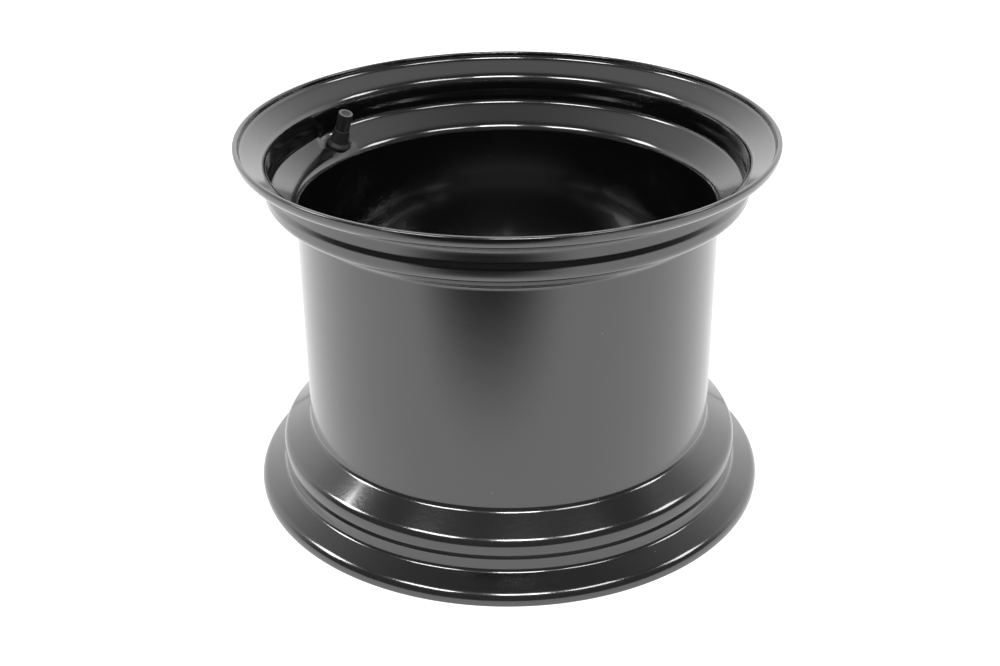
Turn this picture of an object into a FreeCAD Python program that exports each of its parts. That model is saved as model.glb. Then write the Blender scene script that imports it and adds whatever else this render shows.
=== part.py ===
"""Steel wheel rim, 12 inch by 8.5 inch, with a welded disc and a snap-in tyre valve.

The rim is a drop-centre band of sheet steel: a lip, a flange, a tapered bead seat and a shoulder at each
end, and a straight well between them. The disc is a pressed dish inside the well. The valve sits in a flat
seat on the upper shoulder. Sizes are millimetres. Z is the wheel's axis, and the wheel stands on its lower
flange at Z = 0.
"""
import FreeCAD, Part
import os
import re

import Sketcher

SIZES = {
    # Rim band: heights are radial, from the bead seat; lengths run along the axis from each flange's edge
    "overall_width": 238.5,
    "sheet_thickness": 3.0,
    "bead_radius": 152.2,
    "flange_height": 16.8,
    "heel_rise": 1.1,
    "hump_rise": 0.7,
    "shoulder_drop": 0.9,
    "well_drop": 18.5,
    "lip_length": 6.5,
    "lip_bend": 1.0,
    "lip_edge_round": 0.8,
    "flange_length": 7.8,
    "heel_bend": 5.5,
    "seat_length": 7.2,
    "hump_length": 6.0,
    "hump_bend": 12.0,
    "shoulder_length": 6.1,
    "shoulder_bend": 2.0,
    "slope_length": 11.6,
    "well_bend": 2.75,
    # Pressed disc and its weld
    "disc_thickness": 5.0,
    "disc_fit_gap": 0.15,
    "skirt_top": 66.0,
    "skirt_foot": 50.0,
    "skirt_bend": 8.0,
    "bolt_face_height": 26.0,
    "bolt_face_radius": 82.0,
    "dish_bend": 15.0,
    "centre_bore": 81.0,
    "bolt_circle": 114.3,
    "bolt_count": 5,
    "bolt_hole": 16.0,
    "bolt_seat": 20.0,
    "bolt_seat_angle": 60.0,
    "first_bolt_azimuth": -90.0,
    "weld_leg": 4.0,
    "weld_throat": 3.5,
    "weld_crown": 4.0,
    # Valve seat in the upper shoulder
    "valve_azimuth": 145.0,
    "valve_lean": 19.0,
    "valve_shift": 2.5,
    "valve_hole": 11.5,
    "valve_seat": 17.6,
    "seat_reach": 6.0,
    # Rubber valve body
    "rubber_fit_gap": 0.05,
    "button_length": 9.0,
    "button_diameter": 17.0,
    "button_tip_diameter": 14.0,
    "button_rim": 2.0,
    "collar_diameter": 16.4,
    "collar_height": 1.6,
    "collar_slope": 2.2,
    "collar_round": 0.7,
    "body_foot_diameter": 12.6,
    "body_top_diameter": 10.4,
    "body_height": 13.0,
    # Brass stem
    "stem_reach": 23.0,
    "shank_diameter": 6.6,
    "thread_diameter": 7.7,
    "mouth_chamfer": 0.5,
    "passage_diameter": 3.2,
    "pocket_diameter": 4.2,
    "pocket_depth": 17.5,
    "core_thread": 5.2,
    "core_thread_depth": 6.5,
    "core_taper_depth": 1.5,
    # Valve core
    "core_fit_gap": 0.08,
    "core_recess": 1.0,
    "plug_length": 4.5,
    "core_length": 12.5,
    "barrel_diameter": 3.3,
    "barrel_bore": 2.4,
    "barrel_lip_bore": 1.4,
    "barrel_lip": 0.8,
    "gasket_length": 1.2,
    "pin_diameter": 1.0,
    "pin_recess": 0.4,
    "pin_collar_diameter": 2.0,
    "pin_collar_depth": 4.0,
    "pin_collar_height": 0.6,
    "core_seal_height": 0.6,
    "cup_diameter": 3.2,
    "cup_height": 0.9,
    "spring_wire": 0.32,
    "spring_turns": 7,
    # Cap
    "cap_diameter": 9.7,
    "cap_foot_gap": 0.3,
    "cap_top": 1.6,
    "cap_thread_gap": 0.2,
    "cap_round": 1.0,
    "cap_seal_height": 0.8,
    "cap_seal_gap": 0.1,
}

doc = FreeCAD.newDocument("wheel_rim")
sheet = doc.addObject("Spreadsheet::Sheet", "Sizes")
for row, (alias, value) in enumerate(SIZES.items(), start=1):
    sheet.set(f"A{row}", alias)
    sheet.set(f"B{row}", str(value))
    sheet.setAlias(f"B{row}", alias)
doc.recompute()


def size(text):
    """Spell an expression for the sheet: each alias in it gets the sheet's name."""
    return re.sub("[a-z_]+", lambda word: prefixed(word.group()), text)


def prefixed(word):
    return f"Sizes.{word}" if word in SIZES else word


def number(text):
    """The value that an expression has now, in millimetres or degrees."""
    value = sheet.evalExpression(size(text))
    return float(getattr(value, "Value", value))


# Places that several pieces share, as expressions
HALF_WIDTH = "overall_width / 2"
FLANGE_RADIUS = "(bead_radius + flange_height)"
HEEL_RADIUS = "(bead_radius + heel_rise)"
HUMP_RADIUS = "(bead_radius + hump_rise)"
SHOULDER_RADIUS = f"({HUMP_RADIUS} - shoulder_drop)"
WELL_RADIUS = f"({SHOULDER_RADIUS} - well_drop)"
HEEL_DEPTH = "(lip_length + flange_length)"
TOE_DEPTH = f"({HEEL_DEPTH} + seat_length)"
HUMP_DEPTH = f"({TOE_DEPTH} + hump_length)"
SHOULDER_DEPTH = f"({HUMP_DEPTH} + shoulder_length)"
WELL_DEPTH = f"({SHOULDER_DEPTH} + slope_length)"
WELL_INSIDE = f"({WELL_RADIUS} - sheet_thickness)"
SKIRT_RADIUS = f"({WELL_INSIDE} - disc_fit_gap)"
SHOULDER_SLOPE = "atan(slope_length / well_drop)"
SEAT_RADIUS = (
    f"(({WELL_RADIUS} + {SHOULDER_RADIUS}) / 2"
    f" - sheet_thickness / 2 * sin({SHOULDER_SLOPE}) - valve_shift * cos({SHOULDER_SLOPE}))"
)
SEAT_DEPTH = (
    f"(({WELL_DEPTH} + {SHOULDER_DEPTH}) / 2"
    f" - sheet_thickness / 2 * cos({SHOULDER_SLOPE}) + valve_shift * sin({SHOULDER_SLOPE}))"
)
SEAT_OUT = "(button_length + sheet_thickness)"
SEAT_MIDDLE = "(button_length + sheet_thickness / 2)"
BODY_TOP = f"({SEAT_OUT} + body_height)"
MOUTH = f"({SEAT_OUT} + stem_reach)"
PLUG_TOP = f"({MOUTH} - core_recess)"
BARREL_FOOT = f"({PLUG_TOP} - core_length)"
SPRING_FOOT = f"({BARREL_FOOT} + barrel_lip)"
PIN_COLLAR = f"({MOUTH} - pin_collar_depth)"
SPRING_HEAD = f"({PIN_COLLAR} - pin_collar_height)"
CUP_TOP = f"({BARREL_FOOT} - core_seal_height)"
CAP_ROOF = f"({MOUTH} + cap_seal_gap + cap_seal_height)"
CAP_END = f"({CAP_ROOF} + cap_top)"
CAP_FOOT = f"({BODY_TOP} + cap_foot_gap)"
TAPER_START = f"({MOUTH} - core_thread_depth)"
TAPER_END = f"({TAPER_START} - core_taper_depth)"


def bind(thing, **properties):
    """Bind properties of an object to the sheet."""
    for name, text in properties.items():
        thing.setExpression(name, size(text))


def new_body(label, placement=None):
    """Start a body whose label names its file; placement is an expression."""
    body = doc.addObject("PartDesign::Body", label)
    body.Label = label
    if placement:
        body.setExpression("Placement", size(placement))
    return body


def plane_of(body, role):
    return next(item for item in body.Origin.OriginFeatures if item.Role == role)


def place_corner(sketch, line, corner):
    """Hold the start of a sketch line at a corner given by two expressions."""
    origin, start, across, up = -1, 1, -1, -2
    x_text, y_text = corner
    if x_text == "0":
        sketch.addConstraint(Sketcher.Constraint("PointOnObject", line, start, up))
    else:
        held = sketch.addConstraint(
            Sketcher.Constraint("DistanceX", origin, 1, line, start, number(x_text))
        )
        sketch.setExpression(f"Constraints[{held}]", size(x_text))
    if y_text == "0":
        sketch.addConstraint(Sketcher.Constraint("PointOnObject", line, start, across))
    else:
        held = sketch.addConstraint(
            Sketcher.Constraint("DistanceY", origin, 1, line, start, number(y_text))
        )
        sketch.setExpression(f"Constraints[{held}]", size(y_text))


def turn(body, name, corners):
    """Revolve a closed outline, given as corners (radius, height), about the body's Z axis."""
    sketch = body.newObject("Sketcher::SketchObject", f"{name}_outline")
    sketch.AttachmentSupport = [(plane_of(body, "XZ_Plane"), "")]
    sketch.MapMode = "FlatFace"
    points = [FreeCAD.Vector(number(x), number(y), 0) for x, y in corners]
    for here, there in zip(points, points[1:] + points[:1]):
        sketch.addGeometry(Part.LineSegment(here, there), False)
    for line, corner in enumerate(corners):
        before = (line - 1) % len(corners)
        sketch.addConstraint(Sketcher.Constraint("Coincident", before, 2, line, 1))
        place_corner(sketch, line, corner)
    turned = body.newObject("PartDesign::Revolution", f"{name}_turned")
    turned.Profile = sketch
    turned.ReferenceAxis = (sketch, ["V_Axis"])
    turned.Angle = 360
    doc.recompute()
    return turned


def round_edges(body, name, base, corners, radius):
    """Fillet the circular edges of base at the given corners (radius, height)."""
    places = [(number(r), number(z)) for r, z in corners]
    edges = []
    for index, edge in enumerate(base.Shape.Edges, start=1):
        if not isinstance(edge.Curve, Part.Circle):
            continue
        here = (edge.Curve.Radius, edge.Curve.Center.z)
        if any(abs(here[0] - r) < 1e-4 and abs(here[1] - z) < 1e-4 for r, z in places):
            edges.append(f"Edge{index}")
    fillet = body.newObject("PartDesign::Fillet", name)
    fillet.Base = (base, edges)
    bind(fillet, Radius=radius)
    doc.recompute()
    return fillet


def hollow(body, name, base, heights, wall):
    """Leave a wall of even thickness behind the outside of base, open at the flat faces at these heights."""
    levels = [number(text) for text in heights]
    faces = []
    for index, face in enumerate(base.Shape.Faces, start=1):
        if isinstance(face.Surface, Part.Plane):
            if any(abs(face.CenterOfMass.z - level) < 1e-4 for level in levels):
                faces.append(f"Face{index}")
    shell = body.newObject("PartDesign::Thickness", name)
    shell.Base = (base, faces)
    shell.Reversed = True
    bind(shell, Value=wall)
    doc.recompute()
    return shell


def primitive(body, kind, name, placement, **properties):
    """Add or cut a PartDesign primitive at a placement given as an expression."""
    shape = body.newObject(f"PartDesign::{kind}", name)
    shape.setExpression("Placement", size(placement))
    bind(shape, **properties)
    doc.recompute()
    return shape


def at(x="0", y="0", z="0", turn_z="0", turn_y="0"):
    """A placement expression: a point, and a turn about Y and then about Z in degrees."""
    return (
        f"placement(vector({x}; {y}; {z}); "
        f"rotation(({turn_z}) * 1 deg; ({turn_y}) * 1 deg; 0 deg))"
    )


# Rim band: half of the tyre side is turned, mirrored, rounded and hollowed to sheet thickness
def half_corner(radius, depth):
    return radius, f"{HALF_WIDTH} - {depth}"


def both_halves(radius, depth):
    return [(radius, f"{HALF_WIDTH} - {depth}"), (radius, f"{depth} - {HALF_WIDTH}")]


rim = new_body("rim", at(z=HALF_WIDTH, turn_z="valve_azimuth"))
half = turn(
    rim,
    "half_band",
    [
        ("0", "0"),
        (WELL_RADIUS, "0"),
        half_corner(WELL_RADIUS, WELL_DEPTH),
        half_corner(SHOULDER_RADIUS, SHOULDER_DEPTH),
        half_corner(HUMP_RADIUS, HUMP_DEPTH),
        half_corner("bead_radius", TOE_DEPTH),
        half_corner(HEEL_RADIUS, HEEL_DEPTH),
        half_corner(FLANGE_RADIUS, "lip_length"),
        (FLANGE_RADIUS, HALF_WIDTH),
        ("0", HALF_WIDTH),
    ],
)
band = rim.newObject("PartDesign::Mirrored", "whole_band")
band.Originals = [half]
band.MirrorPlane = (plane_of(rim, "XY_Plane"), [""])
rim.Tip = band
doc.recompute()
for bend, radius, depth, fillet_size in (
    ("well_corner", WELL_RADIUS, WELL_DEPTH, "well_bend"),
    ("shoulder_edge", SHOULDER_RADIUS, SHOULDER_DEPTH, "shoulder_bend + sheet_thickness"),
    ("hump_crest", HUMP_RADIUS, HUMP_DEPTH, "hump_bend"),
    ("seat_toe", "bead_radius", TOE_DEPTH, "hump_bend"),
    ("bead_heel", HEEL_RADIUS, HEEL_DEPTH, "heel_bend"),
    ("lip_corner", FLANGE_RADIUS, "lip_length", "lip_bend + sheet_thickness"),
):
    band = round_edges(rim, bend, band, both_halves(radius, depth), fillet_size)
band = hollow(rim, "sheet_band", band, [HALF_WIDTH, f"0 - {HALF_WIDTH}"], "sheet_thickness")
lip_edges = both_halves(FLANGE_RADIUS, "0") + both_halves(f"{FLANGE_RADIUS} - sheet_thickness", "0")
round_edges(rim, "lip_edge", band, lip_edges, "lip_edge_round")

# Flat seat for the valve, pressed into the upper shoulder and pierced
SEAT_HEIGHT = f"({HALF_WIDTH} - {SEAT_DEPTH})"


def along_valve(distance):
    """A place on the valve's axis in the rim's own frame, measured from the middle of the seat."""
    return at(
        x=f"{SEAT_RADIUS} - ({distance}) * sin(valve_lean)",
        z=f"{SEAT_HEIGHT} + ({distance}) * cos(valve_lean)",
        turn_y="0 - valve_lean",
    )


primitive(rim, "AdditiveCylinder", "seat_disc", along_valve("0 - sheet_thickness / 2"),
          Radius="valve_seat / 2", Height="sheet_thickness")
primitive(rim, "SubtractiveCylinder", "seat_outer_face", along_valve("sheet_thickness / 2"),
          Radius="valve_seat / 2", Height="seat_reach")
primitive(rim, "SubtractiveCylinder", "seat_inner_face", along_valve("0 - sheet_thickness / 2 - seat_reach"),
          Radius="valve_seat / 2", Height="seat_reach")
primitive(rim, "SubtractiveCylinder", "valve_hole", along_valve("0 - sheet_thickness"),
          Radius="valve_hole / 2", Height="2 * sheet_thickness")

# Disc: a dish of even thickness with its skirt inside the well, bored and drilled
wheel_disc = new_body("wheel_disc", at(turn_z="first_bolt_azimuth"))
dish = turn(
    wheel_disc,
    "dish",
    [
        ("0", "bolt_face_height"),
        ("bolt_face_radius", "bolt_face_height"),
        (SKIRT_RADIUS, "skirt_foot"),
        (SKIRT_RADIUS, "skirt_top"),
        ("0", "skirt_top"),
    ],
)
dish = round_edges(wheel_disc, "dish_bend", dish, [("bolt_face_radius", "bolt_face_height")],
                   "dish_bend + disc_thickness")
dish = round_edges(wheel_disc, "skirt_bend", dish, [(SKIRT_RADIUS, "skirt_foot")],
                   "skirt_bend + disc_thickness")
hollow(wheel_disc, "plate", dish, ["skirt_top"], "disc_thickness")
primitive(wheel_disc, "SubtractiveCylinder", "centre_bore", at(z="bolt_face_height - disc_thickness"),
          Radius="centre_bore / 2", Height="3 * disc_thickness")
BOLT_SEAT_DEPTH = "((bolt_seat - bolt_hole) / 2 / tan(bolt_seat_angle / 2))"
bolt_hole = primitive(
    wheel_disc, "SubtractiveCylinder", "bolt_hole",
    at(x="bolt_circle / 2", z="bolt_face_height - disc_thickness"),
    Radius="bolt_hole / 2", Height="3 * disc_thickness")
bolt_seat = primitive(
    wheel_disc, "SubtractiveCone", "bolt_seat",
    at(x="bolt_circle / 2", z=f"bolt_face_height + disc_thickness - {BOLT_SEAT_DEPTH}"),
    Radius1="bolt_hole / 2", Radius2="bolt_seat / 2", Height=BOLT_SEAT_DEPTH)
bolts = wheel_disc.newObject("PartDesign::PolarPattern", "bolt_circle")
bolts.Originals = [bolt_hole, bolt_seat]
bolts.Axis = (plane_of(wheel_disc, "Z_Axis"), [""])
bolts.Angle = 360
bind(bolts, Occurrences="bolt_count")
wheel_disc.Tip = bolts
doc.recompute()

# Weld bead in the corner between the skirt's edge and the well, crowned a little
disc_weld = new_body("disc_weld")
WELD_CREST = (f"{WELL_INSIDE} - weld_throat / sqrt(2)", "skirt_top + weld_throat / sqrt(2)")
bead = turn(
    disc_weld,
    "bead",
    [
        (f"{WELL_INSIDE} - weld_leg", "skirt_top"),
        (WELL_INSIDE, "skirt_top"),
        (WELL_INSIDE, "skirt_top + weld_leg"),
        WELD_CREST,
    ],
)
round_edges(disc_weld, "weld_crown", bead, [WELD_CREST], "weld_crown")

# Valve pieces are turned about the valve's axis, from the tip of the rubber button upwards
VALVE_FOOT_RADIUS = f"({SEAT_RADIUS} + {SEAT_MIDDLE} * sin(valve_lean))"
VALVE = at(
    x=f"{VALVE_FOOT_RADIUS} * cos(valve_azimuth)",
    y=f"{VALVE_FOOT_RADIUS} * sin(valve_azimuth)",
    z=f"overall_width - {SEAT_DEPTH} - {SEAT_MIDDLE} * cos(valve_lean)",
    turn_z="valve_azimuth",
    turn_y="0 - valve_lean",
)
NECK_RADIUS = "valve_hole / 2 - rubber_fit_gap"
COLLAR_RIM = ("collar_diameter / 2", f"{SEAT_OUT} + collar_height")

valve_body = new_body("valve_body", VALVE)
rubber = turn(
    valve_body,
    "rubber",
    [
        ("shank_diameter / 2", "0"),
        ("button_tip_diameter / 2", "0"),
        ("button_diameter / 2", "button_length - button_rim"),
        ("button_diameter / 2", "button_length"),
        (NECK_RADIUS, "button_length"),
        (NECK_RADIUS, SEAT_OUT),
        ("collar_diameter / 2", SEAT_OUT),
        COLLAR_RIM,
        ("body_foot_diameter / 2", f"{SEAT_OUT} + collar_height + collar_slope"),
        ("body_top_diameter / 2", BODY_TOP),
        ("shank_diameter / 2", BODY_TOP),
    ],
)
round_edges(valve_body, "collar_round", rubber, [COLLAR_RIM], "collar_round")

valve_stem = new_body("valve_stem", VALVE)
turn(
    valve_stem,
    "stem",
    [
        ("passage_diameter / 2", "0"),
        ("shank_diameter / 2", "0"),
        ("shank_diameter / 2", BODY_TOP),
        ("thread_diameter / 2", BODY_TOP),
        ("thread_diameter / 2", f"{MOUTH} - mouth_chamfer"),
        ("thread_diameter / 2 - mouth_chamfer", MOUTH),
        ("core_thread / 2", MOUTH),
        ("core_thread / 2", TAPER_START),
        ("pocket_diameter / 2", TAPER_END),
        ("pocket_diameter / 2", f"{MOUTH} - pocket_depth"),
        ("passage_diameter / 2", f"{MOUTH} - pocket_depth"),
    ],
)

# Valve core: a barrel screwed into the stem, its gasket, and a sprung pin that carries the seal
core_barrel = new_body("core_barrel", VALVE)
turn(
    core_barrel,
    "barrel",
    [
        ("barrel_lip_bore / 2", BARREL_FOOT),
        ("barrel_diameter / 2", BARREL_FOOT),
        ("barrel_diameter / 2", f"{PLUG_TOP} - plug_length"),
        ("core_thread / 2 - core_fit_gap", f"{PLUG_TOP} - plug_length"),
        ("core_thread / 2 - core_fit_gap", PLUG_TOP),
        ("barrel_bore / 2", PLUG_TOP),
        ("barrel_bore / 2", SPRING_FOOT),
        ("barrel_lip_bore / 2", SPRING_FOOT),
    ],
)

core_gasket = new_body("core_gasket", VALVE)
turn(
    core_gasket,
    "gasket",
    [
        ("barrel_diameter / 2", f"{TAPER_END} - gasket_length"),
        ("pocket_diameter / 2 - core_fit_gap", f"{TAPER_END} - gasket_length"),
        ("pocket_diameter / 2 - core_fit_gap", TAPER_END),
        ("core_thread / 2 - core_fit_gap", TAPER_START),
        ("barrel_diameter / 2", TAPER_START),
    ],
)

core_pin = new_body("core_pin", VALVE)
turn(
    core_pin,
    "pin",
    [
        ("0", f"{CUP_TOP} - cup_height"),
        ("cup_diameter / 2", f"{CUP_TOP} - cup_height"),
        ("cup_diameter / 2", CUP_TOP),
        ("pin_diameter / 2", CUP_TOP),
        ("pin_diameter / 2", SPRING_HEAD),
        ("pin_collar_diameter / 2", SPRING_HEAD),
        ("pin_collar_diameter / 2", PIN_COLLAR),
        ("pin_diameter / 2", PIN_COLLAR),
        ("pin_diameter / 2", f"{MOUTH} - pin_recess"),
        ("0", f"{MOUTH} - pin_recess"),
    ],
)

core_seal = new_body("core_seal", VALVE)
turn(
    core_seal,
    "seal",
    [
        ("pin_diameter / 2", CUP_TOP),
        ("cup_diameter / 2", CUP_TOP),
        ("cup_diameter / 2", BARREL_FOOT),
        ("pin_diameter / 2", BARREL_FOOT),
    ],
)

SPRING_RADIUS = "(barrel_bore + pin_diameter) / 4"
SPRING_RISE = f"({SPRING_HEAD} - {SPRING_FOOT} - spring_wire - core_fit_gap)"
coil = doc.addObject("Part::Helix", "spring_line")
bind(coil, Radius=SPRING_RADIUS, Height=SPRING_RISE, Pitch=f"{SPRING_RISE} / spring_turns")
wire = doc.addObject("Part::Circle", "spring_section")
bind(wire, Radius="spring_wire / 2")
wire.setExpression("Placement", size(
    f"placement(vector({SPRING_RADIUS}; 0; 0); rotation(vector(1; 0; 0); 90 deg))"
))
core_spring = doc.addObject("Part::Sweep", "core_spring")
core_spring.Label = "core_spring"
core_spring.Sections = [wire]
doc.recompute()
core_spring.Spine = (coil, [f"Edge{index}" for index in range(1, len(coil.Shape.Edges) + 1)])
core_spring.Solid = True
core_spring.Frenet = True
SPRING_START = f"({SEAT_MIDDLE} - {SPRING_FOOT} - spring_wire / 2)"
SPRING_START_RADIUS = f"({SEAT_RADIUS} + {SPRING_START} * sin(valve_lean))"
core_spring.setExpression("Placement", size(at(
    x=f"{SPRING_START_RADIUS} * cos(valve_azimuth)",
    y=f"{SPRING_START_RADIUS} * sin(valve_azimuth)",
    z=f"overall_width - {SEAT_DEPTH} - {SPRING_START} * cos(valve_lean)",
    turn_z="valve_azimuth",
    turn_y="0 - valve_lean",
)))
doc.recompute()

# Plastic cap over the stem's thread, and the seal in its roof
CAP_BORE = "thread_diameter / 2 + cap_thread_gap"
valve_cap = new_body("valve_cap", VALVE)
cap = turn(
    valve_cap,
    "cap",
    [
        ("0", CAP_END),
        ("cap_diameter / 2", CAP_END),
        ("cap_diameter / 2", CAP_FOOT),
        (CAP_BORE, CAP_FOOT),
        (CAP_BORE, CAP_ROOF),
        ("0", CAP_ROOF),
    ],
)
round_edges(valve_cap, "cap_round", cap, [("cap_diameter / 2", CAP_END)], "cap_round")

cap_seal = new_body("cap_seal", VALVE)
turn(
    cap_seal,
    "washer",
    [
        ("0", f"{CAP_ROOF} - cap_seal_height"),
        (f"{CAP_BORE} - cap_seal_gap", f"{CAP_ROOF} - cap_seal_height"),
        (f"{CAP_BORE} - cap_seal_gap", CAP_ROOF),
        ("0", CAP_ROOF),
    ],
)

PIECES = [
    rim, wheel_disc, disc_weld,
    valve_body, valve_stem,
    core_barrel, core_gasket, core_pin, core_seal, core_spring,
    valve_cap, cap_seal,
]

doc.recompute()
for item in doc.Objects:
    if "Invalid" in item.State or "Error" in item.State:
        raise RuntimeError(f"{item.Label} failed to build: {item.State}")
for piece in PIECES:
    if piece.Shape.isNull() or not piece.Shape.isValid() or len(piece.Shape.Solids) != 1:
        raise RuntimeError(f"{piece.Label} is not one valid solid")

os.makedirs("parts", exist_ok=True)
for piece in PIECES:
    piece.Shape.exportStep(os.path.join("parts", f"{piece.Label}.step"))
    print(f"{piece.Label}: {piece.Shape.Volume:.1f} mm3")
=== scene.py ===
import math

import bpy
from mathutils import Matrix, Vector


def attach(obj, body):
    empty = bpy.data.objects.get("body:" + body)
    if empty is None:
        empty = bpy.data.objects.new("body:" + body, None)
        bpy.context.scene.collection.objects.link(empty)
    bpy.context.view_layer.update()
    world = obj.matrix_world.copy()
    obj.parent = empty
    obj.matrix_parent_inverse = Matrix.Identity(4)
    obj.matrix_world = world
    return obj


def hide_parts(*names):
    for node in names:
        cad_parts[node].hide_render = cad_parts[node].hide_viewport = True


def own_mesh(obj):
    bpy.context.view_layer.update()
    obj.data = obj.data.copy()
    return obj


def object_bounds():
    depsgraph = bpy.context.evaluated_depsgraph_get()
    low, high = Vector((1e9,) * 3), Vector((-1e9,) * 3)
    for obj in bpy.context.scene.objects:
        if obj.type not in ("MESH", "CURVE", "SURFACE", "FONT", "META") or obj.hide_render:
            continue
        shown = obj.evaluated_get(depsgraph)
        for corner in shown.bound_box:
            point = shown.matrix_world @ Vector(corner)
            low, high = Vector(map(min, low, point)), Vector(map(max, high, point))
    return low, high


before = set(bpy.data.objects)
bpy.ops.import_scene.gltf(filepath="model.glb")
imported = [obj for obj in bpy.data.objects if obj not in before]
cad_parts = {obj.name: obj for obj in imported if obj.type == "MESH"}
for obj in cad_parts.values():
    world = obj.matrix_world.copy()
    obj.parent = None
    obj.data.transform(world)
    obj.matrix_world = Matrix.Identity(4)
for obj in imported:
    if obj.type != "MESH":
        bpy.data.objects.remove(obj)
cad_low, cad_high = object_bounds()

MM = 0.001

# Rim section: radii of the tyre side, and depths from each flange's edge
WIDTH = cad_high.z
SHEET = 3.0 * MM
FLANGE_RADIUS = 169.0 * MM
LIP_DEPTH = 6.5 * MM
HEEL_RADIUS = 152.5 * MM
HEEL_DEPTH = 14.3 * MM
TOE_RADIUS = 151.9 * MM
TOE_DEPTH = 22.0 * MM
HUMP_RADIUS = 152.6 * MM
HUMP_DEPTH = 26.0 * MM
SHOULDER_RADIUS = 152.0 * MM
SHOULDER_DEPTH = 33.6 * MM
WELL_RADIUS = 133.5 * MM
WELL_DEPTH = 45.2 * MM
LIP_BEND = 7.0 * MM
HEEL_BEND = 3.5 * MM
TOE_BEND = 4.0 * MM
HUMP_BEND = 6.0 * MM
SHOULDER_BEND = 7.0 * MM
WELL_BEND = 4.5 * MM
EDGE_ROUND = 1.0 * MM

# Disc and weld
DISC_THICKNESS = 5.0 * MM
SKIRT_RADIUS = 130.35 * MM
SKIRT_TOP = 66.0 * MM
SKIRT_FOOT = 50.0 * MM
BOLT_FACE = 26.0 * MM
BOLT_FACE_RADIUS = 82.0 * MM
DISH_BEND = 20.0 * MM
SKIRT_BEND = 13.0 * MM
CENTRE_BORE = 40.5 * MM
BOLT_CIRCLE = 57.15 * MM
BOLT_COUNT = 5
BOLT_HOLE = 8.0 * MM
BOLT_SEAT = 10.0 * MM
NUT_CONE = math.radians(30)
FIRST_BOLT = math.radians(-90)
WELD_LEG = 4.0 * MM
WELD_THROAT = 3.5 * MM
WELD_CROWN = 4.0 * MM
WELD_FOOT = WELD_LEG / 8
WELD_RIPPLES = 150
WELD_RIPPLE_HEIGHT = 0.2 * MM
WELD_RIPPLE_STEPS = 5

# Valve's place on the shoulder, and the seat pressed for it
VALVE_AZIMUTH = math.radians(145)
VALVE_LEAN = math.radians(19)
VALVE_SHIFT = 2.5 * MM
VALVE_HOLE = 5.75 * MM
SEAT_FLAT = 8.3 * MM
SEAT_BLEND = 15.5 * MM
SEAT_FADE_START = 131.5 * MM
SEAT_FADE_END = 136.5 * MM
SEAT_DEPTH = 8.0 * MM
SEAT_GRID = 2.0 * MM
SEAT_CUTS = 2

# Valve: heights run up its axis from the tip of the rubber button
BUTTON_LENGTH = 9.0 * MM
SEAT_OUT = BUTTON_LENGTH + SHEET
BODY_TOP = SEAT_OUT + 13.0 * MM
MOUTH = SEAT_OUT + 23.0 * MM

# Rubber body
BUTTON_TIP_RADIUS = 7.0 * MM
BUTTON_TIP_BEND = 0.8 * MM
BUTTON_RADIUS = 8.5 * MM
BUTTON_BEND = 1.0 * MM
BUTTON_RIM = 2.0 * MM
BUTTON_RIM_BEND = 0.4 * MM
NECK_RADIUS = 5.7 * MM
COLLAR_RADIUS = 8.2 * MM
COLLAR_FOOT_BEND = 0.5 * MM
COLLAR_EDGE = SEAT_OUT + 1.6 * MM
COLLAR_EDGE_BEND = 0.7 * MM
COLLAR_TOP = SEAT_OUT + 3.8 * MM
COLLAR_TOP_BEND = 1.5 * MM
TAPER_FOOT_RADIUS = 6.3 * MM
TAPER_TOP_RADIUS = 5.2 * MM
TAPER_TOP_BEND = 0.6 * MM

# Brass stem, its thread and the pocket for the core
SHANK_RADIUS = 3.3 * MM
STEM_BORE = 1.6 * MM
THREAD_RADIUS = 3.85 * MM
THREAD_ROOT = 3.4 * MM
THREAD_PITCH = 0.794 * MM
THREAD_RIDGE = 0.8 * THREAD_PITCH
THREAD_FOOT = BODY_TOP + THREAD_PITCH / 4
THREAD_SINK = 0.05 * MM
MOUTH_CHAMFER = 0.5 * MM
POCKET_RADIUS = 2.6 * MM
POCKET_TAPER_TOP = MOUTH - 6.5 * MM
POCKET_TAPER_FOOT = MOUTH - 8.0 * MM
POCKET_FOOT_RADIUS = 2.1 * MM
POCKET_FOOT = MOUTH - 17.5 * MM

# Core's spring
SPRING_FOOT = MOUTH - 12.7 * MM
SPRING_RADIUS = 0.85 * MM
SPRING_WIRE = 0.16 * MM
SPRING_RISE = 7.7 * MM
SPRING_TURNS = 7
SPRING_SIDES = 10

# Cap
CAP_ROOF = MOUTH + 0.9 * MM
CAP_END = CAP_ROOF + 1.6 * MM
CAP_FOOT = BODY_TOP + 0.3 * MM
CAP_RADIUS = 4.85 * MM
CAP_BORE = 4.05 * MM
CAP_TOP_BEND = 0.7 * MM
CAP_FOOT_BEND = 0.3 * MM
# Width of the band at the cap's top edge that is painted paler, a painted highlight
CAP_PAINTED_HIGHLIGHT_BAND = 0.45 * MM
DIMPLE_DEPTH = 0.35 * MM
DIMPLE_RADIUS = 3.0 * MM
DIMPLE_RIM = 3.5 * MM
DIMPLE_BEND = 0.2 * MM

# Fineness of the meshes: steps round an axis and in a bend, and the angle up to which faces shade smoothly
RIM_STEPS = 360
DISC_STEPS = 240
SMALL_STEPS = 64
WIND_STEPS = 40
BEND_STEPS = 8
RIM_BEND_STEPS = 6
SMOOTH_ANGLE = math.radians(30)
WIRE_SMOOTH_ANGLE = math.radians(60)
MERGE_DISTANCE = 1e-6

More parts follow.
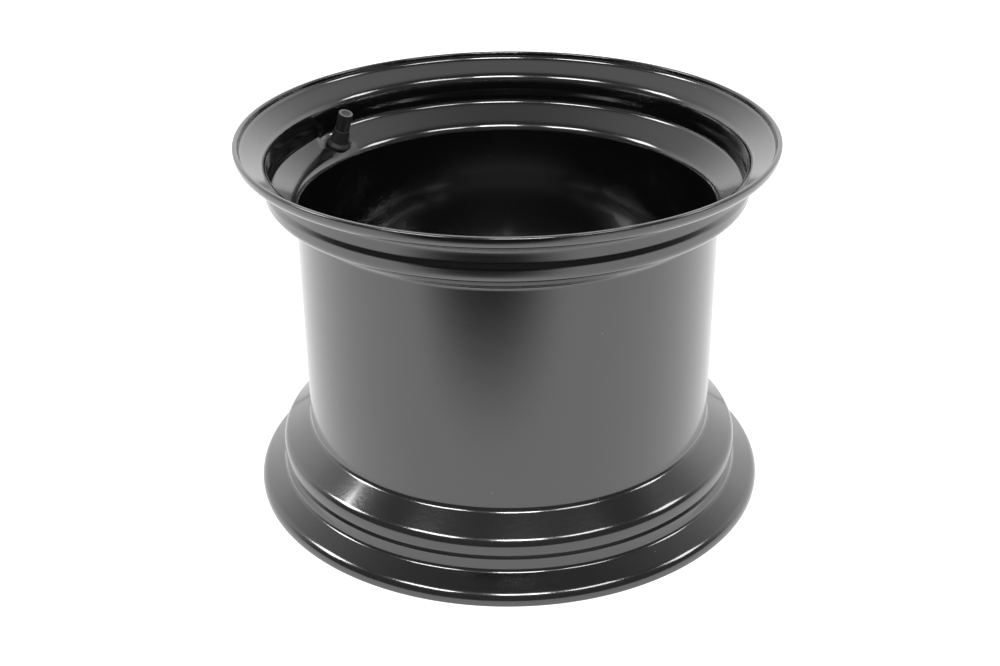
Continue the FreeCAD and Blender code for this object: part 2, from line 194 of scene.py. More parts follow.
# Colours: linear red, green and blue, and opacity
PAINT_BLACK = (0.003, 0.003, 0.0033, 1)
DUST_GREY = (0.16, 0.16, 0.15, 1)
RUBBER_DARK = (0.012, 0.012, 0.012, 1)
RUBBER_PALE = (0.03, 0.03, 0.031, 1)
PLASTIC_DARK = (0.012, 0.012, 0.013, 1)
PLASTIC_PALE = (0.024, 0.024, 0.024, 1)
# Paler colour of the cap's top edge, a painted highlight
PLASTIC_PAINTED_HIGHLIGHT = (0.16, 0.16, 0.16, 1)
BRASS_DARK = (0.55, 0.38, 0.16, 1)
BRASS_PALE = (0.78, 0.57, 0.27, 1)
STEEL_DARK = (0.4, 0.4, 0.41, 1)
STEEL_PALE = (0.6, 0.6, 0.6, 1)
FLOOR_WHITE = (0.9, 0.9, 0.9, 1)
WHITE = (1, 1, 1, 1)

# Floor in reflections: white round one place, dim far from it, and a painted shadow round a spot before the
# camera
LIT_FLOOR = (0, 0.5, 0)
LIT_NEAR = 1.0
LIT_FAR = 1.5
LIT_FAR_LEVEL = 0.05
PAINTED_SHADOW_SPOT = (-0.13, -0.78, 0)
PAINTED_SHADOW_NEAR = 0.3
PAINTED_SHADOW_FAR = 0.52
PAINTED_SHADOW_LEVEL = 0.06

# Floor as the camera sees it: its own glow is less round the object, so the shadow shows there
FLOOR_CENTRE = (0, 0, 0)
FLOOR_GLOW = 0.8
SHADOW_NEAR = 0.25
SHADOW_FAR = 0.7
FLOOR_RADIUS = 4.0
FLOOR_SIDES = 96

# Walls: each band runs from one place to another on a sphere of radius 1, and from one level to another
ROOM_RADIUS = 3.6
ROOM_SEGMENTS = 48
ROOM_RINGS = 24
CLOTH_BAND = (0.6, 0.9, 0.15, 0.12)
BEHIND_BAND = (-0.1, 0.45, 0.0, 1.0)
BACKDROP_BAND = (0.35, 0.75, 0.9, 0.35)

# Soft boxes: name, azimuth and elevation in degrees, distance, width and height, radiance
SOFT_BOXES = (
    ("front_box", 6, 54, 1.3, (0.38, 0.2), 20.0),
    ("front_left_box", -45, 51, 1.3, (0.44, 0.2), 15.0),
    ("front_right_box", 44, 51, 1.3, (0.4, 0.2), 9.0),
    ("left_box", -94, 37, 3.2, (0.8, 0.75), 11.0),
    ("right_box", 88, 36, 3.2, (0.8, 0.75), 7.0),
)
BOX_TARGET = (0, 0, 0.12)

# Camera, as fitted to the edges of the two flanges
CAMERA_PLACE = (-0.00545, -0.87115, 0.54576)
CAMERA_ELEVATION = math.radians(27.30)
CAMERA_ROLL = math.radians(-0.56)
CAMERA_LENS = 53.04
CAMERA_SENSOR = 36.0


# Section helpers: an outline is a list of (radius, height) points, and a corner also has its bend's radius

def unit(a, b):
    """Direction from one point to another."""
    length = math.hypot(b[0] - a[0], b[1] - a[1])
    return ((b[0] - a[0]) / length, (b[1] - a[1]) / length)


def turn_at(before, corner, after):
    """Signed turn of an outline at a corner, in radians, positive to the left."""
    u = unit(before, corner)
    v = unit(corner, after)
    return math.atan2(u[0] * v[1] - u[1] * v[0], u[0] * v[0] + u[1] * v[1])


def bend(before, corner, after, radius, pieces):
    """Points of the arc that rounds a corner."""
    turn = turn_at(before, corner, after)
    u = unit(before, corner)
    reach = radius * math.tan(abs(turn) / 2)
    start = (corner[0] - u[0] * reach, corner[1] - u[1] * reach)
    side = 1 if turn > 0 else -1
    centre = (start[0] - u[1] * side * radius, start[1] + u[0] * side * radius)
    arm = (start[0] - centre[0], start[1] - centre[1])
    points = []
    for step in range(pieces + 1):
        angle = turn * step / pieces
        points.append((
            centre[0] + arm[0] * math.cos(angle) - arm[1] * math.sin(angle),
            centre[1] + arm[0] * math.sin(angle) + arm[1] * math.cos(angle),
        ))
    return points


def rounded(corners, pieces=BEND_STEPS):
    """Closed outline from (radius, height, bend) corners; a bend of 0 stays sharp."""
    outline = []
    count = len(corners)
    for index, (r, z, radius) in enumerate(corners):
        before = corners[index - 1][:2]
        after = corners[(index + 1) % count][:2]
        if radius:
            outline += bend(before, (r, z), after, radius, pieces)
        else:
            outline.append((r, z))
    return outline


def offset(corners, thickness):
    """The other side of a sheet: an open run of (radius, height, bend) corners moved to its left."""
    lines = []
    for a, b in zip(corners, corners[1:]):
        u = unit(a, b)
        shift = (-u[1] * thickness, u[0] * thickness)
        lines.append(((a[0] + shift[0], a[1] + shift[1]), u))
    moved = [(lines[0][0][0], lines[0][0][1], 0)]
    for index in range(1, len(corners) - 1):
        p, u = lines[index - 1]
        q, v = lines[index]
        cross = u[0] * v[1] - u[1] * v[0]
        along = ((q[0] - p[0]) * v[1] - (q[1] - p[1]) * v[0]) / cross
        turn = turn_at(corners[index - 1], corners[index], corners[index + 1])
        radius = corners[index][2] - math.copysign(thickness, turn)
        moved.append((p[0] + u[0] * along, p[1] + u[1] * along, radius))
    last = corners[-1]
    u = lines[-1][1]
    moved.append((last[0] - u[1] * thickness, last[1] + u[0] * thickness, 0))
    return moved


def divided(outline, longest, lowest):
    """Split the long edges of a closed outline above a height."""
    points = []
    for here, there in zip(outline, outline[1:] + outline[:1]):
        points.append(here)
        if min(here[1], there[1]) > lowest:
            pieces = math.ceil(math.dist(here, there) / longest)
            for step in range(1, pieces):
                share = step / pieces
                points.append((
                    here[0] + (there[0] - here[0]) * share,
                    here[1] + (there[1] - here[1]) * share,
                ))
    return points


# Modelling helpers

def deselect():
    if bpy.context.object and bpy.context.object.mode != "OBJECT":
        bpy.ops.object.mode_set(mode="OBJECT")
    bpy.ops.object.select_all(action="DESELECT")


def select_only(piece):
    deselect()
    piece.select_set(True)
    bpy.context.view_layer.objects.active = piece


def section_ring(name, outline):
    """A circle bent to a closed outline that stands in the XZ plane."""
    deselect()
    bpy.ops.mesh.primitive_circle_add(vertices=len(outline), radius=1, fill_type="NOTHING")
    ring = bpy.context.object
    ring.name = name
    ring.data.name = name
    for vertex, (r, z) in zip(ring.data.vertices, outline):
        vertex.co = (r, 0, z)
    return ring


def smooth(piece, angle=SMOOTH_ANGLE):
    select_only(piece)
    bpy.ops.object.shade_smooth_by_angle(angle=angle)


def lathe(name, outline, steps):
    """Spin a closed outline once round the Z axis."""
    piece = section_ring(name, outline)
    bpy.ops.object.mode_set(mode="EDIT")
    bpy.ops.mesh.select_all(action="SELECT")
    bpy.ops.mesh.spin(steps=steps, angle=math.tau, center=(0, 0, 0), axis=(0, 0, 1))
    bpy.ops.mesh.select_all(action="SELECT")
    bpy.ops.mesh.remove_doubles(threshold=MERGE_DISTANCE)
    bpy.ops.mesh.normals_make_consistent(inside=False)
    bpy.ops.object.mode_set(mode="OBJECT")
    smooth(piece)
    return piece


def wind(name, profile, pitch, turns):
    """Wind a closed profile up the Z axis, and close its two ends."""
    coil = section_ring(name, profile)
    screw = coil.modifiers.new("wind", "SCREW")
    screw.axis = "Z"
    screw.screw_offset = pitch
    screw.iterations = turns
    screw.steps = WIND_STEPS
    screw.render_steps = WIND_STEPS
    bpy.ops.object.modifier_apply(modifier="wind")
    bpy.ops.object.mode_set(mode="EDIT")
    bpy.ops.mesh.select_all(action="SELECT")
    bpy.ops.mesh.fill_holes(sides=len(profile))
    bpy.ops.mesh.normals_make_consistent(inside=False)
    bpy.ops.object.mode_set(mode="OBJECT")
    return coil


def cut(piece, tool):
    """Take a tool's volume out of a piece."""
    select_only(piece)
    modifier = piece.modifiers.new("cut", "BOOLEAN")
    modifier.operation = "DIFFERENCE"
    modifier.solver = "EXACT"
    modifier.object = tool
    bpy.ops.object.modifier_apply(modifier="cut")
    bpy.data.objects.remove(tool)


def place(piece, matrix):
    """Move a piece's mesh, so that the object itself stays at the origin."""
    piece.data.transform(matrix)


def shown(piece, node, body, material):
    """Let a piece stand for a CAD node, riding on its body."""
    piece.data.materials.clear()
    piece.data.materials.append(material)
    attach(piece, body)
    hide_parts(node)


SLOPE = math.atan2(WELL_DEPTH - SHOULDER_DEPTH, SHOULDER_RADIUS - WELL_RADIUS)


def valve_matrix():
    """Frame of the valve: origin at the button's tip, Z up the stem."""
    middle_radius = (WELL_RADIUS + SHOULDER_RADIUS) / 2
    middle_depth = (WELL_DEPTH + SHOULDER_DEPTH) / 2
    radius = middle_radius - SHEET / 2 * math.sin(SLOPE) - VALVE_SHIFT * math.cos(SLOPE)
    depth = middle_depth - SHEET / 2 * math.cos(SLOPE) + VALVE_SHIFT * math.sin(SLOPE)
    return (
        Matrix.Rotation(VALVE_AZIMUTH, 4, "Z")
        @ Matrix.Translation((radius, 0, WIDTH - depth))
        @ Matrix.Rotation(-VALVE_LEAN, 4, "Y")
        @ Matrix.Translation((0, 0, -BUTTON_LENGTH - SHEET / 2))
    )


VALVE = valve_matrix()
UP_VALVE = VALVE.to_3x3() @ Vector((0, 0, 1))


# Shader helpers and shared effects

def set_inputs(node, values):
    for name, value in values.items():
        node.inputs[name].default_value = value


def new_group(name, inputs, outputs):
    """An empty group with number inputs, each with its usual value, and number outputs."""
    group = bpy.data.node_groups.new(name, "ShaderNodeTree")
    for socket, value in inputs.items():
        made = group.interface.new_socket(socket, in_out="INPUT", socket_type="NodeSocketFloat")
        made.default_value = value
    for socket in outputs:
        group.interface.new_socket(socket, in_out="OUTPUT", socket_type="NodeSocketFloat")
    nodes = group.nodes
    return group, nodes, group.links, nodes.new("NodeGroupInput"), nodes.new("NodeGroupOutput")


def add_group(nodes, group, values):
    node = nodes.new("ShaderNodeGroup")
    node.node_tree = group
    set_inputs(node, values)
    return node


def new_material(name):
    material = bpy.data.materials.new(name)
    material.use_nodes = True
    nodes = material.node_tree.nodes
    return material, nodes, material.node_tree.links, nodes["Principled BSDF"]


def math_node(nodes, links, operation, first, second):
    node = nodes.new("ShaderNodeMath")
    node.operation = operation
    for socket, value in zip(node.inputs, (first, second)):
        if isinstance(value, (int, float)):
            socket.default_value = value
        else:
            links.new(value, socket)
    return node.outputs[0]


def mix_colour(nodes, links, factor, first, second):
    node = nodes.new("ShaderNodeMix")
    node.data_type = "RGBA"
    links.new(factor, node.inputs["Factor"])
    for socket, value in ((node.inputs["A"], first), (node.inputs["B"], second)):
        if isinstance(value, tuple):
            socket.default_value = value
        else:
            links.new(value, socket)
    return node.outputs["Result"]


def ramp(nodes, links, value, low, high, start, stop):
    """Carry a value smoothly from start to stop while it goes from low to high."""
    node = nodes.new("ShaderNodeMapRange")
    node.interpolation_type = "SMOOTHSTEP"
    set_inputs(node, {"From Min": low, "From Max": high, "To Min": start, "To Max": stop})
    links.new(value, node.inputs["Value"])
    return node.outputs["Result"]


def object_noise(nodes, links, scale, detail=2.0):
    """Noise that is fixed to the piece."""
    where = nodes.new("ShaderNodeTexCoord")
    noise = nodes.new("ShaderNodeTexNoise")
    set_inputs(noise, {"Scale": scale, "Detail": detail})
    links.new(where.outputs["Object"], noise.inputs["Vector"])
    return noise.outputs["Fac"]


def add_bump(nodes, links, shader, height, strength, distance):
    bump = nodes.new("ShaderNodeBump")
    set_inputs(bump, {"Strength": strength, "Distance": distance})
    links.new(height, bump.inputs["Height"])
    links.new(bump.outputs["Normal"], shader.inputs["Normal"])


def make_orange_peel():
    """Height of a sprayed film: a fine ripple over a slow wave."""
    usual = {"Scale": 300.0, "Slow share": 0.5}
    group, nodes, links, given, out = new_group("orange_peel", usual, ["Height"])
    where = nodes.new("ShaderNodeTexCoord")
    fine = nodes.new("ShaderNodeTexNoise")
    fine.inputs["Detail"].default_value = 1.0
    slow = nodes.new("ShaderNodeTexNoise")
    slow.inputs["Detail"].default_value = 0.0
    links.new(where.outputs["Object"], fine.inputs["Vector"])
    links.new(where.outputs["Object"], slow.inputs["Vector"])
    links.new(given.outputs["Scale"], fine.inputs["Scale"])
    slow_scale = math_node(nodes, links, "MULTIPLY", given.outputs["Scale"], 0.2)
    links.new(slow_scale, slow.inputs["Scale"])
    waves = math_node(nodes, links, "MULTIPLY", slow.outputs["Fac"], given.outputs["Slow share"])
    height = math_node(nodes, links, "ADD", fine.outputs["Fac"], waves)
    links.new(height, out.inputs["Height"])
    return group


def make_specks():
    """Mask of small scattered specks, such as dust."""
    usual = {"Scale": 120.0, "Size": 0.06, "Share": 0.1}
    group, nodes, links, given, out = new_group("specks", usual, ["Mask"])
    where = nodes.new("ShaderNodeTexCoord")
    cells = nodes.new("ShaderNodeTexVoronoi")
    links.new(where.outputs["Object"], cells.inputs["Vector"])
    links.new(given.outputs["Scale"], cells.inputs["Scale"])
    near = math_node(nodes, links, "LESS_THAN", cells.outputs["Distance"], given.outputs["Size"])
    chosen = nodes.new("ShaderNodeSeparateColor")
    links.new(cells.outputs["Color"], chosen.inputs["Color"])
    kept = math_node(nodes, links, "LESS_THAN", chosen.outputs["Red"], given.outputs["Share"])
    mask = math_node(nodes, links, "MULTIPLY", near, kept)
    links.new(mask, out.inputs["Mask"])
    return group


ORANGE_PEEL = make_orange_peel()
SPECKS = make_specks()


# Materials of the pieces

def black_paint():
    """Gloss black spray paint over steel, with dust in the film and an uneven sheen."""
    material, nodes, links, shader = new_material("gloss_black_paint")
    set_inputs(shader, {
        "Specular IOR Level": 1.0,
        "Coat Weight": 1.0,
        "Coat Roughness": 0.09,
        "Coat IOR": 1.6,
    })
    dust = add_group(nodes, SPECKS, {"Scale": 170.0, "Size": 0.07, "Share": 0.05})
    colour = mix_colour(nodes, links, dust.outputs["Mask"], PAINT_BLACK, DUST_GREY)
    links.new(colour, shader.inputs["Base Color"])
    sheen = nodes.new("ShaderNodeMapRange")
    set_inputs(sheen, {"To Min": 0.13, "To Max": 0.2})
    links.new(object_noise(nodes, links, scale=22.0, detail=4.0), sheen.inputs["Value"])
    links.new(sheen.outputs["Result"], shader.inputs["Roughness"])
    film = add_group(nodes, ORANGE_PEEL, {"Scale": 420.0, "Slow share": 1.2})
    add_bump(nodes, links, shader, film.outputs["Height"], strength=0.06, distance=0.5 * MM)
    return material


def rubber():
    """Matt black rubber with a pale bloom."""
    material, nodes, links, shader = new_material("valve_rubber")
    set_inputs(shader, {"Specular IOR Level": 0.4, "Roughness": 0.5})
    bloom = object_noise(nodes, links, scale=600.0)
    colour = mix_colour(nodes, links, bloom, RUBBER_DARK, RUBBER_PALE)
    links.new(colour, shader.inputs["Base Color"])
    grain = add_group(nodes, ORANGE_PEEL, {"Scale": 3000.0})
    add_bump(nodes, links, shader, grain.outputs["Height"], strength=0.25, distance=0.2 * MM)
    return material


def cap_plastic():
    """Black moulded plastic, painted paler round the top edge as a painted highlight."""
    material, nodes, links, shader = new_material("cap_plastic")
    shader.inputs["Roughness"].default_value = 0.38
    wear = object_noise(nodes, links, scale=400.0)
    moulded = mix_colour(nodes, links, wear, PLASTIC_DARK, PLASTIC_PALE)
    where = nodes.new("ShaderNodeTexCoord")
    along = nodes.new("ShaderNodeVectorMath")
    along.operation = "DOT_PRODUCT"
    along.inputs[1].default_value = UP_VALVE
    links.new(where.outputs["Object"], along.inputs[0])
    end_height = (VALVE @ Vector((0, 0, CAP_END))).dot(UP_VALVE)
    # The band at the top edge is painted paler: a painted highlight.
    painted_highlight = ramp(nodes, links, along.outputs["Value"], end_height - CAP_PAINTED_HIGHLIGHT_BAND, end_height, 0.0, 1.0)
    colour = mix_colour(nodes, links, painted_highlight, moulded, PLASTIC_PAINTED_HIGHLIGHT)
    links.new(colour, shader.inputs["Base Color"])
    grain = add_group(nodes, ORANGE_PEEL, {"Scale": 2500.0})
    add_bump(nodes, links, shader, grain.outputs["Height"], strength=0.15, distance=0.2 * MM)
    return material


def bare_metal(name, dark, pale):
    """Brass or steel with a finely mottled colour."""
    material, nodes, links, shader = new_material(name)
    set_inputs(shader, {"Metallic": 1.0, "Roughness": 0.3})
    mottle = object_noise(nodes, links, scale=1500.0)
    colour = mix_colour(nodes, links, mottle, dark, pale)
    links.new(colour, shader.inputs["Base Color"])
    return material


PAINT = black_paint()
RUBBER = rubber()
PLASTIC = cap_plastic()
BRASS = bare_metal("valve_brass", BRASS_DARK, BRASS_PALE)
STEEL = bare_metal("spring_steel", STEEL_DARK, STEEL_PALE)


# Rim

def tyre_side():
    """The tyre side's corners from the lower edge to the upper edge, with the bend at each."""
    lower = [
        (FLANGE_RADIUS, 0, 0),
        (FLANGE_RADIUS, LIP_DEPTH, LIP_BEND),
        (HEEL_RADIUS, HEEL_DEPTH, HEEL_BEND),
        (TOE_RADIUS, TOE_DEPTH, TOE_BEND),
        (HUMP_RADIUS, HUMP_DEPTH, HUMP_BEND),
        (SHOULDER_RADIUS, SHOULDER_DEPTH, SHOULDER_BEND),
        (WELL_RADIUS, WELL_DEPTH, WELL_BEND),
    ]
    upper = [(r, WIDTH - z, radius) for r, z, radius in reversed(lower)]
    return lower + upper


def rim_outline():
    """Both sides of the sheet, with its two edges rounded."""
    outside = tyre_side()
    inside = offset(outside, SHEET)
    for side in (outside, inside):
        for end in (0, -1):
            side[end] = side[end][:2] + (EDGE_ROUND,)
    return rounded(outside + inside[::-1], RIM_BEND_STEPS)


def in_valve_frame(point):
    """Distance of a point from the valve's axis, and its height above the middle of the seat."""
    local = VALVE.inverted() @ point
    return math.hypot(local.x, local.y), local.z - BUTTON_LENGTH - SHEET / 2


def eased(share):
    """A share held between 0 and 1, with a soft start and a soft stop."""
    share = max(0, min(1, share))
    return share * share * (3 - 2 * share)


def press_seat(rim):
    """Press the valve's flat seat into the shoulder, blended into the slope and gone before the well."""
    select_only(rim)
    bpy.ops.object.mode_set(mode="EDIT")
    bpy.ops.mesh.select_all(action="DESELECT")
    bpy.ops.object.mode_set(mode="OBJECT")
    for face in rim.data.polygons:
        reach, height = in_valve_frame(face.center)
        face.select = reach < SEAT_BLEND and abs(height) < SEAT_DEPTH
    bpy.ops.object.mode_set(mode="EDIT")
    bpy.ops.mesh.subdivide(number_cuts=SEAT_CUTS)
    bpy.ops.object.mode_set(mode="OBJECT")
    for vertex in rim.data.vertices:
        reach, height = in_valve_frame(vertex.co)
        if reach > SEAT_BLEND or abs(height) > SEAT_DEPTH:
            continue
        radius = math.hypot(vertex.co.x, vertex.co.y)
        tyre_side_height = WIDTH - WELL_DEPTH + (radius - WELL_RADIUS) * math.tan(SLOPE)
        side = 1 if vertex.co.z - tyre_side_height > SHEET / 2 else -1
        share = eased((SEAT_BLEND - reach) / (SEAT_BLEND - SEAT_FLAT))
        share *= eased((radius - SEAT_FADE_START) / (SEAT_FADE_END - SEAT_FADE_START))
        vertex.co += UP_VALVE * (side * SHEET / 2 - height) * share


def valve_drill():
    """A rod through the seat, as wide as the valve's hole."""
    foot = SEAT_OUT - 3 * SHEET
    top = SEAT_OUT + 2 * SHEET
    drill = lathe("valve_drill", [(0, foot), (VALVE_HOLE, foot), (VALVE_HOLE, top), (0, top)], SMALL_STEPS)
    place(drill, VALVE)
    return drill


def model_rim():
    outline = divided(rim_outline(), SEAT_GRID, WIDTH - WELL_DEPTH - WELL_BEND)
    rim = lathe("rim_band", outline, RIM_STEPS)
    press_seat(rim)
    cut(rim, valve_drill())
    smooth(rim)
    shown(rim, "rim", "wheel", PAINT)


# Disc and weld

def bolt_tool(where):
    """A drill with a cone above it, as for a wheel nut's seat."""
    top = BOLT_FACE + DISC_THICKNESS
    seat_depth = (BOLT_SEAT - BOLT_HOLE) / math.tan(NUT_CONE)
    spare = DISC_THICKNESS
    widest = BOLT_SEAT + spare * math.tan(NUT_CONE)
    outline = [
        (0, BOLT_FACE - spare),
        (BOLT_HOLE, BOLT_FACE - spare),
        (BOLT_HOLE, top - seat_depth),
        (widest, top + spare),
        (0, top + spare),
    ]
    tool = lathe("bolt_tool", outline, SMALL_STEPS)
    place(tool, Matrix.Translation((where[0], where[1], 0)))
    return tool


def model_disc():
    below = [
        (CENTRE_BORE, BOLT_FACE, 0),
        (BOLT_FACE_RADIUS, BOLT_FACE, DISH_BEND),
        (SKIRT_RADIUS, SKIRT_FOOT, SKIRT_BEND),
        (SKIRT_RADIUS, SKIRT_TOP, 0),
    ]
    above = offset(below, DISC_THICKNESS)
    disc = lathe("wheel_disc_dish", rounded(below + above[::-1]), DISC_STEPS)
    for index in range(BOLT_COUNT):
        angle = FIRST_BOLT + index * math.tau / BOLT_COUNT
        where = (BOLT_CIRCLE * math.cos(angle), BOLT_CIRCLE * math.sin(angle))
        cut(disc, bolt_tool(where))
    smooth(disc)
    shown(disc, "wheel_disc", "wheel", PAINT)


def model_weld():
    """The bead between the disc's skirt and the well, rippled along its length."""
    inside = WELL_RADIUS - SHEET
    rise = WELD_THROAT / math.sqrt(2)
    corners = [
        (inside - WELD_LEG, SKIRT_TOP, 0),
        (inside, SKIRT_TOP, 0),
        (inside, SKIRT_TOP + WELD_LEG, 0),
        (inside - rise, SKIRT_TOP + rise, WELD_CROWN),
    ]
    weld = lathe("weld_bead", rounded(corners), WELD_RIPPLE_STEPS * WELD_RIPPLES)
    for vertex in weld.data.vertices:
        crest = min(inside - math.hypot(vertex.co.x, vertex.co.y), vertex.co.z - SKIRT_TOP)
        angle = math.atan2(vertex.co.y, vertex.co.x)
        ripple = (math.cos(angle * WELD_RIPPLES) - 1) / 2 * WELD_RIPPLE_HEIGHT
        if crest > WELD_FOOT:
            vertex.co += Vector((math.cos(angle), math.sin(angle), -1)) * ripple
    shown(weld, "disc_weld", "wheel", PAINT)


# Valve

def model_valve_body():
    """Rubber body: the button inside the rim, the neck in the hole, the collar and the tapered stem."""
    corners = [
        (SHANK_RADIUS, 0, 0),
        (BUTTON_TIP_RADIUS, 0, BUTTON_TIP_BEND),
        (BUTTON_RADIUS, BUTTON_LENGTH - BUTTON_RIM, BUTTON_BEND),
        (BUTTON_RADIUS, BUTTON_LENGTH, BUTTON_RIM_BEND),
        (NECK_RADIUS, BUTTON_LENGTH, 0),
        (NECK_RADIUS, SEAT_OUT, 0),
        (COLLAR_RADIUS, SEAT_OUT, COLLAR_FOOT_BEND),
        (COLLAR_RADIUS, COLLAR_EDGE, COLLAR_EDGE_BEND),
        (TAPER_FOOT_RADIUS, COLLAR_TOP, COLLAR_TOP_BEND),
        (TAPER_TOP_RADIUS, BODY_TOP, TAPER_TOP_BEND),
        (SHANK_RADIUS, BODY_TOP, 0),
    ]
    body = lathe("valve_rubber_body", rounded(corners), SMALL_STEPS)
    place(body, VALVE)
    shown(body, "valve_body", "wheel", RUBBER)


def model_thread():
    """The ridge of the cap's thread, wound up the stem's end."""
    profile = [
        (THREAD_ROOT - THREAD_SINK, THREAD_FOOT),
        (THREAD_ROOT - THREAD_SINK, THREAD_FOOT + THREAD_RIDGE),
        (THREAD_RADIUS, THREAD_FOOT + THREAD_RIDGE / 2),
    ]
    turns = int((MOUTH - MOUTH_CHAMFER - THREAD_FOOT) / THREAD_PITCH) - 1
    return wind("stem_thread", profile, THREAD_PITCH, turns)


def model_stem():
    """Brass stem: a shank in the rubber, a threaded end, and the stepped pocket for the core."""
    outline = [
        (STEM_BORE, 0),
        (SHANK_RADIUS, 0),
        (SHANK_RADIUS, BODY_TOP),
        (THREAD_ROOT, BODY_TOP),
        (THREAD_ROOT, MOUTH - MOUTH_CHAMFER),
        (THREAD_ROOT - MOUTH_CHAMFER / 2, MOUTH),
        (POCKET_RADIUS, MOUTH),
        (POCKET_RADIUS, POCKET_TAPER_TOP),
        (POCKET_FOOT_RADIUS, POCKET_TAPER_FOOT),
        (POCKET_FOOT_RADIUS, POCKET_FOOT),
        (STEM_BORE, POCKET_FOOT),
    ]
    stem = lathe("valve_stem_tube", outline, SMALL_STEPS)
    ridge = model_thread()
    select_only(stem)
    ridge.select_set(True)
    bpy.ops.object.join()
    smooth(stem)
    place(stem, VALVE)
    shown(stem, "valve_stem", "wheel", BRASS)


def model_spring():
    """The core's spring, which shortens as the pin is pressed."""
    profile = []
    for step in range(SPRING_SIDES):
        angle = step * math.tau / SPRING_SIDES
        profile.append((
            SPRING_RADIUS + SPRING_WIRE * math.cos(angle),
            SPRING_FOOT + SPRING_WIRE + SPRING_WIRE * math.sin(angle),
        ))
    spring = wind("spring_coil", profile, SPRING_RISE / SPRING_TURNS, SPRING_TURNS)
    smooth(spring, WIRE_SMOOTH_ANGLE)
    place(spring, VALVE)
    shown(spring, "core_spring", "wheel", STEEL)
    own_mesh(spring)


def model_cap():
    """Plastic cap with a shallow dimple in its end."""
    corners = [
        (0, CAP_END - DIMPLE_DEPTH, 0),
        (DIMPLE_RADIUS, CAP_END - DIMPLE_DEPTH, DIMPLE_BEND),
        (DIMPLE_RIM, CAP_END, DIMPLE_BEND),
        (CAP_RADIUS, CAP_END, CAP_TOP_BEND),
        (CAP_RADIUS, CAP_FOOT, CAP_FOOT_BEND),
        (CAP_BORE, CAP_FOOT, 0),
        (CAP_BORE, CAP_ROOF, 0),
        (0, CAP_ROOF, 0),
    ]
    cap = lathe("valve_cap_sleeve", rounded(corners), SMALL_STEPS)
    place(cap, VALVE)
    shown(cap, "valve_cap", "valve_cap", PLASTIC)


def dress_core():
    """The core's other pieces and the cap's washer keep their solids, with these materials."""
    for node, material in (
        ("core_barrel", BRASS),
        ("core_pin", BRASS),
        ("core_gasket", RUBBER),
        ("core_seal", RUBBER),
        ("cap_seal", RUBBER),
    ):
        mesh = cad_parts[node].data
        mesh.materials.clear()
        mesh.materials.append(material)


# Stage: a white floor, walls that only reflections see, soft boxes and the camera

def distance_from(nodes, links, point):
    where = nodes.new("ShaderNodeTexCoord")
    away = nodes.new("ShaderNodeVectorMath")
    away.operation = "DISTANCE"
    away.inputs[1].default_value = point
    links.new(where.outputs["Object"], away.inputs[0])
    return away.outputs["Value"]


def ray_masks(nodes, links):
    """Masks of the rays that come by a reflection or through glass, and of the camera's own rays."""
    path = nodes.new("ShaderNodeLightPath")
    glossy = path.outputs["Is Glossy Ray"]
    through = path.outputs["Is Transmission Ray"]
    return math_node(nodes, links, "MAXIMUM", glossy, through), path.outputs["Is Camera Ray"]


def floor_material():
    """White to the eye, and in reflections near the object, apart from a painted shadow before the camera.
    """
    material, nodes, links, shader = new_material("white_floor")
    set_inputs(shader, {"Base Color": FLOOR_WHITE, "Roughness": 0.9, "Specular IOR Level": 0.0})
    mirrored, seen = ray_masks(nodes, links)
    from_lit = distance_from(nodes, links, LIT_FLOOR)
    from_painted_shadow = distance_from(nodes, links, PAINTED_SHADOW_SPOT)
    from_centre = distance_from(nodes, links, FLOOR_CENTRE)
    lit = ramp(nodes, links, from_lit, LIT_NEAR, LIT_FAR, 1.0, LIT_FAR_LEVEL)
    # Painted shadow: the floor's glow in reflections drops round a spot before the camera.
    clear = ramp(nodes, links, from_painted_shadow, PAINTED_SHADOW_NEAR, PAINTED_SHADOW_FAR, PAINTED_SHADOW_LEVEL, 1.0)
    white = nodes.new("ShaderNodeEmission")
    links.new(math_node(nodes, links, "MULTIPLY", lit, clear), white.inputs["Strength"])
    glow_here = ramp(nodes, links, from_centre, SHADOW_NEAR, SHADOW_FAR, FLOOR_GLOW, 1.0)
    glow = nodes.new("ShaderNodeEmission")
    links.new(math_node(nodes, links, "MULTIPLY", seen, glow_here), glow.inputs["Strength"])
    shaded = nodes.new("ShaderNodeAddShader")
    links.new(shader.outputs["BSDF"], shaded.inputs[0])
    links.new(glow.outputs["Emission"], shaded.inputs[1])
    mixed = nodes.new("ShaderNodeMixShader")
    links.new(mirrored, mixed.inputs["Fac"])
    links.new(shaded.outputs["Shader"], mixed.inputs[1])
    links.new(white.outputs["Emission"], mixed.inputs[2])
    links.new(mixed.outputs["Shader"], nodes["Material Output"].inputs["Surface"])
    return material


def make_floor():
    deselect()
    bpy.ops.mesh.primitive_circle_add(
        vertices=FLOOR_SIDES, radius=FLOOR_RADIUS, fill_type="NGON", location=FLOOR_CENTRE)
    floor = bpy.context.object
    floor.name = "floor"
    floor.data.materials.append(floor_material())


def wall_material():
    """A white backdrop behind the object, and dark cloth before and above it."""
    material, nodes, links, _ = new_material("studio_cloth")
    where = nodes.new("ShaderNodeTexCoord")
    direction = nodes.new("ShaderNodeVectorMath")
    direction.operation = "NORMALIZE"
    links.new(where.outputs["Object"], direction.inputs[0])
    parts = nodes.new("ShaderNodeSeparateXYZ")
    links.new(direction.outputs["Vector"], parts.inputs["Vector"])
    cloth = ramp(nodes, links, parts.outputs["Z"], *CLOTH_BAND)
    behind = ramp(nodes, links, parts.outputs["Y"], *BEHIND_BAND)
    backdrop = ramp(nodes, links, parts.outputs["Z"], *BACKDROP_BAND)
    backdrop_here = math_node(nodes, links, "MULTIPLY", behind, backdrop)
    glow = nodes.new("ShaderNodeEmission")
    links.new(math_node(nodes, links, "ADD", cloth, backdrop_here), glow.inputs["Strength"])
    links.new(glow.outputs["Emission"], nodes["Material Output"].inputs["Surface"])
    return material


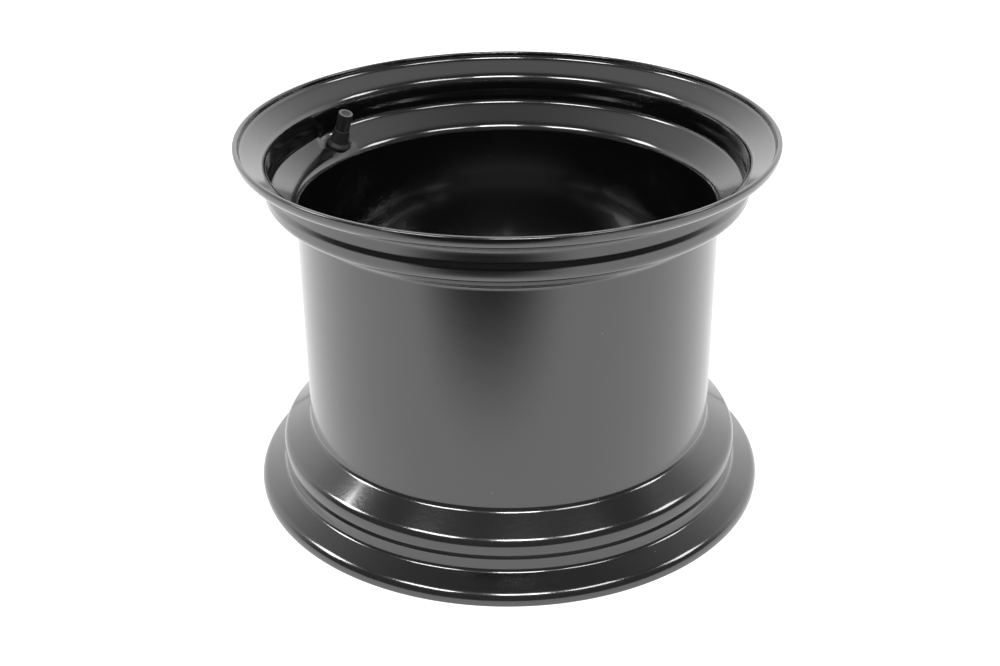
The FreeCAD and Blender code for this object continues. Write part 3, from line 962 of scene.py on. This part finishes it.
def make_room():
    """Walls round the object that the camera doesn't see, and that cast no shadow."""
    deselect()
    bpy.ops.mesh.primitive_uv_sphere_add(segments=ROOM_SEGMENTS, ring_count=ROOM_RINGS, radius=ROOM_RADIUS)
    room = bpy.context.object
    room.name = "studio_walls"
    room.data.materials.append(wall_material())
    room.visible_camera = False
    room.visible_shadow = False


def make_world():
    """White for the camera and in reflections, with no light of its own otherwise."""
    world = bpy.data.worlds.new("studio")
    bpy.context.scene.world = world
    world.use_nodes = True
    nodes = world.node_tree.nodes
    links = world.node_tree.links
    back = nodes["Background"]
    back.inputs["Color"].default_value = WHITE
    mirrored, seen = ray_masks(nodes, links)
    links.new(math_node(nodes, links, "MAXIMUM", mirrored, seen), back.inputs["Strength"])


def soft_box(name, azimuth, elevation, distance, size, radiance):
    """An area light on a sphere round the object, facing it. Azimuth 0 is towards the camera."""
    lamp = bpy.data.lights.new(name, "AREA")
    lamp.shape = "RECTANGLE"
    lamp.size, lamp.size_y = size
    lamp.energy = radiance * math.pi * size[0] * size[1]
    box = bpy.data.objects.new(name, lamp)
    bpy.context.scene.collection.objects.link(box)
    a = math.radians(azimuth)
    e = math.radians(elevation)
    back = Vector((math.sin(a) * math.cos(e), -math.cos(a) * math.cos(e), math.sin(e)))
    box.location = Vector(BOX_TARGET) + back * distance
    box.rotation_euler = back.to_track_quat("Z", "Y").to_euler()


def make_camera():
    """The photograph's view."""
    ahead = Vector((0, math.cos(CAMERA_ELEVATION), -math.sin(CAMERA_ELEVATION)))
    right = Vector((1, 0, 0))
    up = right.cross(ahead)
    across = right * math.cos(CAMERA_ROLL) + up * math.sin(CAMERA_ROLL)
    above = up * math.cos(CAMERA_ROLL) - right * math.sin(CAMERA_ROLL)
    data = bpy.data.cameras.new("camera")
    data.sensor_width = CAMERA_SENSOR
    data.lens = CAMERA_LENS
    camera = bpy.data.objects.new("camera", data)
    bpy.context.scene.collection.objects.link(camera)
    turn = Matrix((across, above, -ahead)).transposed().to_4x4()
    camera.matrix_world = Matrix.Translation(CAMERA_PLACE) @ turn
    bpy.context.scene.camera = camera


model_rim()
model_disc()
model_weld()
model_valve_body()
model_stem()
model_spring()
model_cap()
dress_core()

make_floor()
make_room()
make_world()
for box_values in SOFT_BOXES:
    soft_box(*box_values)
make_camera()
bpy.context.scene.view_settings.view_transform = "Standard"
